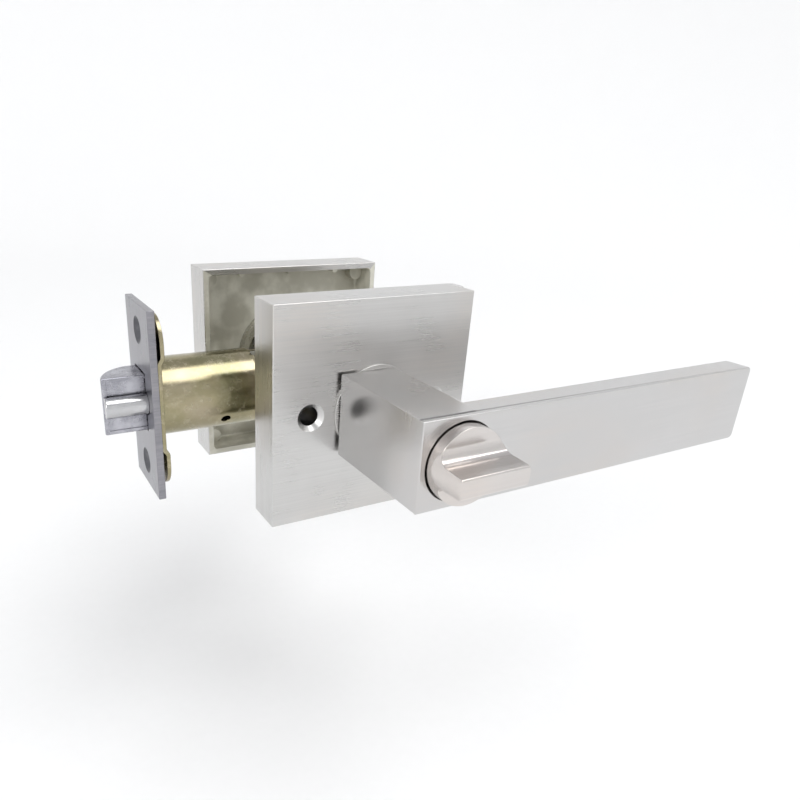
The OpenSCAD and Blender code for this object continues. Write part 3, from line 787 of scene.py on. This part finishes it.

# %% [markdown]
# ## The latch faceplate and its backing plate
# The faceplate is a square-cornered steel strip with countersunk screw holes, their
# walls painted dark as shade, and an opening shaped like the bolt and its plunger.
# The backing plate behind it is pressed: its ends step back from the faceplate and
# are rounded, and a raised ring carries each screw hole. The step is drawn as a side
# view, and the round ends come from bevelling its upright corners.

# %% Faceplate
PLATE_LO, PLATE_HI = corners("faceplate")
BOLT_LO, BOLT_HI = corners("latch_bolt")
PLUNGER_Y = corners("plunger")[1].y
SCREW_Z = 20.65
GAP = 0.35                                # round the bolt
PLATE_HOLE_R, PLATE_SINK_R, PLUNGER_WINDOW_R = 2.3, 4.7, 3.55
# Countersinks and hole walls inside this radius are painted dark as shade.
COUNTERSINK_SHADE_R = 4.6                              # a countersink is dark inside this radius

plate = block("faceplate_strip", PLATE_LO, PLATE_HI)
round_edges(plate, 0.25, lambda a, b: True, 2)
cut(plate,
    block("bolt_window", (PLATE_LO.x - 1, BOLT_LO.y - GAP, BOLT_LO.z - GAP),
          (PLATE_HI.x + 1, BOLT_HI.y + GAP, BOLT_HI.z + GAP)),
    rod("plunger_window", (PLATE_LO.x - 1, PLUNGER_Y, 0),
        (PLATE_HI.x + 1, PLUNGER_Y, 0), PLUNGER_WINDOW_R, sides=64))
for side in (-1, 1):
    z = side * SCREW_Z
    cut(plate,
        rod("hole", (PLATE_LO.x - 1, 0, z), (PLATE_HI.x + 1, 0, z), PLATE_HOLE_R,
            sides=64),
        rod("sink", (PLATE_LO.x - 0.5, 0, z), (PLATE_LO.x + 1.5, 0, z), PLATE_SINK_R,
            r_end=PLATE_HOLE_R, sides=64))
complete(plate, "faceplate", plate_steel, edge=0.08)
# The countersinks and hole walls take the dark steel as painted shade.
plate.data.materials.append(countersink_shade_steel)
for face in plate.data.polygons:
    from_hole = math.hypot(face.center.y, abs(face.center.z) - SCREW_Z * MM)
    face.material_index = int(from_hole < COUNTERSINK_SHADE_R * MM and abs(face.normal.x) < 0.95)

# %% Backing plate
BACK_LO, BACK_HI = corners("backing_plate")
TUBE_OUT, TUBE_IN = 11.8, 10.8            # radii of the latch case
END_ROUND, RING_R, RING_HOLE_R = 7.8, 4.3, 2.5


def pressed_plate(name):
    """The stepped side view pulled to its width, with ringed screw holes."""
    x0, x3, top = BACK_LO.x, BACK_HI.x, BACK_HI.z
    side = [(x0, 13.3), (x0 + 0.25, 13.8), (x0 + 0.85, 14.6), (x0 + 1.0, 15.1),
            (x0 + 1.0, top), (x3, top), (x3, 14.8), (x3 - 0.2, 14.1), (x3 - 0.8, 13.3),
            (x3 - 1.0, 12.8)]
    outline = [(x, BACK_LO.y, z) for x, z in side]
    outline += [(x, BACK_LO.y, -z) for x, z in reversed(side)]
    made = prism(name, outline, (0, BACK_HI.y - BACK_LO.y, 0))
    round_edges(made, END_ROUND, lambda a, b: min(abs(a.z), abs(b.z)) > top - 0.1
                and abs(a.x - b.x) > 0.5, 10)
    for sign in (-1, 1):
        z = sign * SCREW_Z
        add(made, rod("ring", (x0, 0, z), (x0 + 1.3, 0, z), RING_R, sides=64))
        cut(made, rod("hole", (x0 - 1, 0, z), (x3 + 1, 0, z), RING_HOLE_R, sides=64))
    return cut(made, rod("tube_hole", (x0 - 1, 0, 0), (x3 + 1, 0, 0), TUBE_IN))


backing = pressed_plate("backing_plate_pressing")
complete(backing, "backing_plate", yellow_zinc, edge=0.15, segments=3)

# %% [markdown]
# ## The latch case
# A drawn tube with a rounded shoulder at the back, spun from its section. Two
# side plates go on to the spindle and carry the follower. Windows in the rear
# wall let the retractor through, and there is a drain hole on the lower side.

# %% Tube, side plates and openings
CASE_LO, CASE_HI = corners("latch_case")
WALL_X = -24.2                            # the tube's rear wall
SHOULDER = 3                              # radius of its rounded shoulder
TAIL_IN, TAIL_OUT, TAIL_Z = 5.6, 6.8, 9.4
BEARING_R, PASSAGE_R = 7.45, 3.2
DRAIN_X, DRAIN_R, DRAIN_TURN = -37.5, 1.5, math.radians(35)


def latch_case_blank(name):
    """The tube spun from its section, with side plates, windows and bores."""
    x0 = CASE_LO.x
    bend = SHOULDER - 1
    section = [(x0, TUBE_IN), (x0, TUBE_OUT)]
    section += [(WALL_X - SHOULDER + SHOULDER * math.sin(a),
                 TUBE_OUT - SHOULDER + SHOULDER * math.cos(a)) for a in quarter(8)]
    section += [(WALL_X, 0)]
    inner = [(WALL_X - 1, 0)]
    inner += [(WALL_X - SHOULDER + bend * math.sin(a), TUBE_IN - bend + bend * math.cos(a))
              for a in reversed(quarter(6))]
    case = lathe(name, [(x, 0, r) for x, r in section[::-1] + inner[::-1]], (1, 0, 0),
                 close=False, steps=128)
    for sign in (-1, 1):
        low, high = sorted((sign * TAIL_IN, sign * TAIL_OUT))
        add(case, block("side_plate", (WALL_X - 0.5, low, -TAIL_Z),
                        (CASE_HI.x, high, TAIL_Z)))
    add(case, block("end_strip", (CASE_HI.x - 1.2, -TAIL_OUT + 0.4, -TAIL_Z),
                    (CASE_HI.x, TAIL_OUT - 0.4, TAIL_Z)))
    for sign in (-1, 1):
        low, high = sorted((sign * 7.86, sign * 11.5))
        cut(case, block("window", (WALL_X - 2.4, -3.95, low), (WALL_X + 1, 3.95, high)))
    drain = Vector((0, -math.cos(DRAIN_TURN), -math.sin(DRAIN_TURN)))
    middle = Vector((DRAIN_X, 0, 0))
    cut(case, rod("follower_bearing", (0, -8, 0), (0, 8, 0), BEARING_R),
        rod("bolt_passage", (-BOLT_X, -8, 0), (-BOLT_X, 8, 0), PASSAGE_R, sides=64),
        rod("drain", middle + drain * 8, middle + drain * 13, DRAIN_R, sides=48))
    return case


case = latch_case_blank("latch_case_tube")
complete(case, "latch_case", yellow_zinc, edge=0.1, limit=36)

# %% [markdown]
# ## The latch bolt and its plunger
# The bolt is a zinc casting with a curved lead-in on its closing side and a flat
# near side with a shallow pocket. The half-round plunger slides beside it and
# deadlocks it. The bolt's plan view is drawn once and pulled up; the plunger is a
# round bar cut in half along its length.

# %% Bolt
NOSE_R = 12.6                             # the curved lead-in
NOSE = Vector((BOLT_LO.x + NOSE_R, BOLT_LO.y - 1.2))
POCKET_Z, GUIDE_R = 7.4, 1.9
PRONG_Z, PRONG = 6.31, 0.7                # middle and half thickness of a prong


def latch_bolt_blank(name):
    """The plan view pulled up, with its pocket, spring guide and two prongs."""
    rear = -46.0
    a0 = math.asin((BOLT_LO.y - NOSE.y) / NOSE_R)
    a1 = math.asin((BOLT_HI.y - NOSE.y) / NOSE_R)
    plan = []
    for i in range(17):
        a = a0 + (a1 - a0) * i / 16
        plan.append((NOSE.x - NOSE_R * math.cos(a), NOSE.y + NOSE_R * math.sin(a)))
    plan += [(rear, BOLT_HI.y), (rear, BOLT_LO.y)]
    bolt = prism(name, [(x, y, BOLT_LO.z) for x, y in plan],
                 (0, 0, BOLT_HI.z - BOLT_LO.z))
    round_edges(bolt, 0.45, lambda a, b: abs(a.z - b.z) < 0.1
                or (max(a.x, b.x) < -70 and abs(a.y - BOLT_LO.y) < 0.2), 3)
    cut(bolt, block("pocket", (BOLT_LO.x + 1.5, BOLT_LO.y - 1, -POCKET_Z),
                    (rear - 4, BOLT_LO.y + 0.5, POCKET_Z)))
    add(bolt, rod("guide", (rear - 1, 0, 0), (-42.8, 0, 0), GUIDE_R, sides=48))
    for sign in (-1, 1):
        low, high = sign * PRONG_Z - PRONG, sign * PRONG_Z + PRONG
        add(bolt, block("prong", (rear - 1, -2, low), (BOLT_HI.x, 2, high)),
            block("prong_head", (BOLT_HI.x - 1.2, -3.4, low), (BOLT_HI.x, 3.4, high)))
    return bolt


bolt = latch_bolt_blank("latch_bolt_casting")
complete(bolt, "latch_bolt", bolt_zinc, edge=0.14)

# %% Plunger
PLUNGER_LO, PLUNGER_HI = corners("plunger")
plunger = rod("plunger_pin", (PLUNGER_LO.x, PLUNGER_Y, 0), (PLUNGER_HI.x, PLUNGER_Y, 0),
              PLUNGER_HI.z, sides=96)
pick(plunger, "FACE", lambda middle, normal: True)
bpy.ops.mesh.bisect(plane_co=(0, PLUNGER_Y * MM, 0), plane_no=(0, 1, 0), use_fill=True,
                    clear_outer=True)
only(plunger)
complete(plunger, "plunger", plunger_chrome, edge=0.35, segments=3,
         limit=40)

# %% [markdown]
# ## Spring cups and their screws
# A turned cup in each rose holds the return spring. Its ears are screwed to the
# casting, a window gives the drive plate's ear its sixty degrees of travel, and a
# notch holds the fixed leg of the spring.

# %% Spring cups
CUP_R, CUP_IN, CUP_BORE_R = 17.0, 15.0, 12.3
CUP_FLOOR = HOLLOW - 1.2                  # depth of the cup's own floor
EAR, EAR_R, EAR_HOLE_R = 14.0, 3.2, 1.1   # an ear's place across, and its radii
NOTCH, NOTCH_HALF = math.radians(215), 0.9


def spring_cup_blank(name):
    """The turned cup, with ears, the drive plate's window and the leg's notch."""
    cup = turned(name, [(CUP_R, 2), (CUP_R, HOLLOW), (CUP_BORE_R, HOLLOW),
                        (CUP_BORE_R, CUP_FLOOR), (CUP_IN, CUP_FLOOR), (CUP_IN, 2)],
                 steps=128)
    for sign in (-1, 1):
        at = sign * EAR
        add(cup, bar("ear", HOLLOW - 2, HOLLOW - 0.002, EAR_R, at, at, sides=48))
        cut(cup, bar("screw_hole", HOLLOW - 3, HOLLOW + 1, EAR_HOLE_R, at, at, sides=24))
    arc = [(0, depth(0), 0)]
    for i in range(15):
        a = math.radians(18 + 84 * i / 14)
        arc.append((16.0 * math.cos(a), depth(0), 16.0 * math.sin(a)))
    cut(cup, prism("travel_window", arc, (0, -4.7, 0)))
    u, w = radial(NOTCH)
    base = Vector((0, depth(0), 0))
    slot_points = [base + u * 12.9 - w * NOTCH_HALF, base + u * 20 - w * NOTCH_HALF,
                   base + u * 20 + w * NOTCH_HALF, base + u * 12.9 + w * NOTCH_HALF]
    cut(cup, prism("leg_notch", slot_points, (0, -CUP_FLOOR, 0)))
    return cup


cup = spring_cup_blank("inside_spring_cup_turning")
cup_out = mirrored(cup, "outside_spring_cup_turning")
complete(cup, "inside_spring_cup", cup_zinc, edge=0.12)
complete(cup_out, "outside_spring_cup", cup_zinc, edge=0.12)

# %% Cup screws
SCREW_R, SCREW_HEAD_R, SCREW_TOP = 1.0, 2.4, 1.7


def cup_screw(name, x, z):
    """A cross-head pan screw, spun and then slotted twice."""
    head = HOLLOW - 3.4
    outline = [(0, head), (1.3, head + 0.05), (2.0, head + 0.35),
               (SCREW_HEAD_R, head + 0.9), (SCREW_HEAD_R, head + 1.4),
               (SCREW_R, head + 1.4), (SCREW_R, HOLLOW + SCREW_TOP),
               (0, HOLLOW + SCREW_TOP)]
    screw = lathe(name, [(x + r, depth(v), z) for r, v in outline], (0, 1, 0),
                  centre=(x, 0, z), close=False, steps=48)
    for degrees in (20, 110):
        u, w = radial(math.radians(degrees))
        base = Vector((x, depth(head - 0.3), z))
        cross = [base + u * 1.5 + w * 0.35, base - u * 1.5 + w * 0.35,
                 base - u * 1.5 - w * 0.35, base + u * 1.5 - w * 0.35]
        cut(screw, prism("slot", cross, (0, -1.1, 0)))
    return screw


def join(first, *others):
    """Makes several meshes one piece."""
    only(first)
    for other in others:
        other.select_set(True)
    bpy.ops.object.join()
    return first


screws = join(cup_screw("inside_cup_screw_pair", EAR, EAR),
              cup_screw("screw", -EAR, -EAR))
screws_out = mirrored(screws, "outside_cup_screw_pair")
complete(screws, "inside_cup_screws", inner_steel, edge=0.06)
complete(screws_out, "outside_cup_screws", inner_steel, edge=0.06)

# %% [markdown]
# ## Springs
# A spring is a small circle carried round an axis while it climbs, which is what
# the Screw modifier does. It could be a curve with a round bevel, but a mesh has
# the same number of sides everywhere and closed ends.

# %% Coil springs
def coil(name, axis, start, r, wire, pitch, turns, angle=0.0, steps=40):
    """Round wire wound along an axis, from a start point on that axis."""
    only()
    if axis == "X":
        u, across = Vector((0, 0, 1)), Vector((0, 1, 0))
    else:
        u, across = radial(angle)
    turn = across.to_track_quat("Z", "Y").to_euler()
    bpy.ops.mesh.primitive_circle_add(
        vertices=14, radius=wire / 2 * MM, fill_type="NGON", location=u * r * MM,
        rotation=turn)
    obj = settle(bpy.context.object, name)
    modify(obj, "SCREW", axis=axis, angle=2 * math.pi, screw_offset=pitch * MM,
           iterations=turns, steps=steps, render_steps=steps, use_merge_vertices=True,
           merge_threshold=1e-7)
    obj.location = Vector(start) * MM
    only(obj)
    settle(obj, name)
    edit_all(obj)
    bpy.ops.mesh.remove_doubles(threshold=1e-7)
    bpy.ops.mesh.delete_loose()
    bpy.ops.mesh.select_all(action="SELECT")
    bpy.ops.mesh.normals_make_consistent(inside=False)
    only(obj)
    return obj


CASE_R, CASE_WIRE, CASE_TURNS = 3.4, 0.9, 6
PIN_R, PIN_WIRE, PIN_TURNS = 1.3, 0.5, 10

case_gap = corners("bolt_spring")
bolt_coil = coil("bolt_spring_coil", "X", (case_gap[0].x + CASE_WIRE / 2, 0, 0),
                 CASE_R, CASE_WIRE,
                 (case_gap[1].x - case_gap[0].x - CASE_WIRE) / CASE_TURNS, CASE_TURNS)
pin_gap = corners("plunger_spring")
pin_coil = coil("plunger_spring_coil", "X",
                (pin_gap[0].x + PIN_WIRE / 2, (pin_gap[0].y + pin_gap[1].y) / 2, 0),
                PIN_R, PIN_WIRE,
                (pin_gap[1].x - pin_gap[0].x - PIN_WIRE) / PIN_TURNS, PIN_TURNS,
                steps=28)
complete(bolt_coil, "bolt_spring", spring_steel, edge=0)
complete(pin_coil, "plunger_spring", spring_steel, edge=0)
# each latch spring gets a mesh of its own
for spring, (low, high) in ((bolt_coil, case_gap), (pin_coil, pin_gap)):
    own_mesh(spring)

# %% Return springs
COIL_R, WIRE, PITCH, TURNS = 12.9, 1.3, 1.45, 2
START = CUP_FLOOR - 0.1 - WIRE / 2        # depth of the first coil
LEG_R, LEG_END = WIRE / 2 - 0.02, 3.0     # a leg's radius, and how deep one reaches


def return_spring(name):
    """Two coils and two legs: one in the cup's notch, one in the drive plate."""
    begin = Vector((0, depth(START), 0))
    spring = coil(name, "Y", begin, COIL_R, WIRE, PITCH, TURNS,
                  NOTCH + math.radians(2.4), steps=64)
    u = radial(NOTCH)[0]
    fixed = rod("fixed_leg", u * COIL_R + begin, u * (CUP_R - 0.8) + begin, LEG_R,
                sides=20)
    a1 = NOTCH + math.radians(4.8)
    w = Vector((math.cos(a1) * COIL_R, 0, math.sin(a1) * COIL_R))
    end = START - PITCH * TURNS
    driven = rod("driven_leg", w + Vector((0, depth(end), 0)),
                 w + Vector((0, depth(LEG_END), 0)), LEG_R, sides=20)
    return join(spring, fixed, driven)


spring = return_spring("inside_return_spring_coil")
spring_out = mirrored(spring, "outside_return_spring_coil")
complete(spring, "inside_return_spring", spring_steel, edge=0)
complete(spring_out, "outside_return_spring", spring_steel, edge=0)

# %% [markdown]
# ## Hidden hardware
# The drive plates, rings, set screws, rivets, spindle, rod, follower and
# retractor are stamped, turned or cut parts whose solids already have the right
# shape. A merged copy of each gets softened edges, as tumbling leaves them, and
# its own finish.

# %% Softened copies
def softened(node, material, edge, segments=2):
    """A merged copy of a frame solid with rounded edges."""
    copy = duplicate(frame["nodes"][node], node + "_soft")
    only(copy)
    bpy.ops.mesh.customdata_custom_splitnormals_clear()
    return complete(copy, node, material, edge, segments, 40)


for side in ("inside", "outside"):
    softened(side + "_drive_plate", black_steel, 0.15)
    softened(side + "_circlip", black_steel, 0.1)
    softened(side + "_washer", inner_steel, 0.08)
    softened(side + "_set_screw", black_steel, 0.1)
softened("spindle", inner_steel, 0.3, 3)
softened("turn_clip", black_steel, 0.06)
softened("lock_rod", inner_steel, 0.12)
softened("case_rivets", yellow_zinc, 0.15, 3)
softened("retractor", inner_steel, 0.12)
softened("follower", follower_zinc, 0.2, 3)

# %% [markdown]
# ## Floor, light and camera
# The set hangs as it does on a door, over a plain pale sweep that lies just below
# the lowest reach of a turned lever. A large softbox above and in front gives the
# long highlight on the tube and the thin bright lines on the upper edges. A weaker
# one reaches into the open rose from the left. An even surround lights the rest,
# as in a light tent.

# %% Floor
FLOOR = -106                              # height of the floor
FLAT_R, BEND, RIM = 900, 700, 1500        # flat middle, bend up, and the wall's height

sweep = [(0, 0, FLOOR), (FLAT_R, 0, FLOOR)]
sweep += [(FLAT_R + BEND * math.sin(a), 0, FLOOR + BEND - BEND * math.cos(a))
          for a in quarter(12)[1:]]
sweep.append((FLAT_R + BEND, 0, FLOOR + RIM))
floor = lathe("studio_floor", sweep, (0, 0, 1), close=False)
edit_all(floor)
bpy.ops.mesh.flip_normals()
only(floor)
bpy.ops.object.shade_smooth()
paper = Finish("pale_paper", Roughness=0.9)
grain = paper.noise(paper.place((300, 300, 300)), detail=2.0)
paper.set(Base_Color=paper.mix(grain, (0.88, 0.88, 0.88), (0.90, 0.90, 0.90)))
floor.data.materials.append(paper.material)

# %% Light
def softbox(name, place, target, size, power):
    """A lamp that the camera doesn't see: place and size in metres, power in watts."""
    lamp = bpy.data.lights.new(name, "AREA")
    lamp.shape, lamp.size, lamp.size_y = "RECTANGLE", size[0], size[1]
    lamp.energy = power
    obj = bpy.data.objects.new(name, lamp)
    obj.visible_camera = False
    bpy.context.scene.collection.objects.link(obj)
    obj.location = place
    aim = Vector(target) - Vector(place)
    obj.rotation_euler = aim.to_track_quat("-Z", "Y").to_euler()


softbox("key", (1.1, -0.9, 3.0), (0, 0, 0), (2.1, 2.1), 47)
softbox("fill", (-1.1, -0.75, 0.75), (0, 0, 0), (0.5, 0.5), 5)
world = bpy.data.worlds.new("light_tent")
world.use_nodes = True
surround = world.node_tree.nodes["Background"].inputs
surround["Color"].default_value = (0.97, 0.98, 1.0, 1)
surround["Strength"].default_value = 0.62
bpy.context.scene.world = world
bpy.context.scene.view_settings.view_transform = "Standard"
print("two softboxes, the tent and a floor")

# %% Camera
eye = bpy.data.cameras.new("camera")
eye.sensor_width, eye.lens = 36, 30.553
eye.shift_x, eye.shift_y = 0.0904, 0.0566
eye.clip_start = 0.01
camera = bpy.data.objects.new("camera", eye)
bpy.context.scene.collection.objects.link(camera)
camera.location = (-0.10356, -0.19509, 0.0697)
camera.rotation_euler = [math.radians(a) for a in (66.6, -2.069, -27.936)]
bpy.context.scene.camera = camera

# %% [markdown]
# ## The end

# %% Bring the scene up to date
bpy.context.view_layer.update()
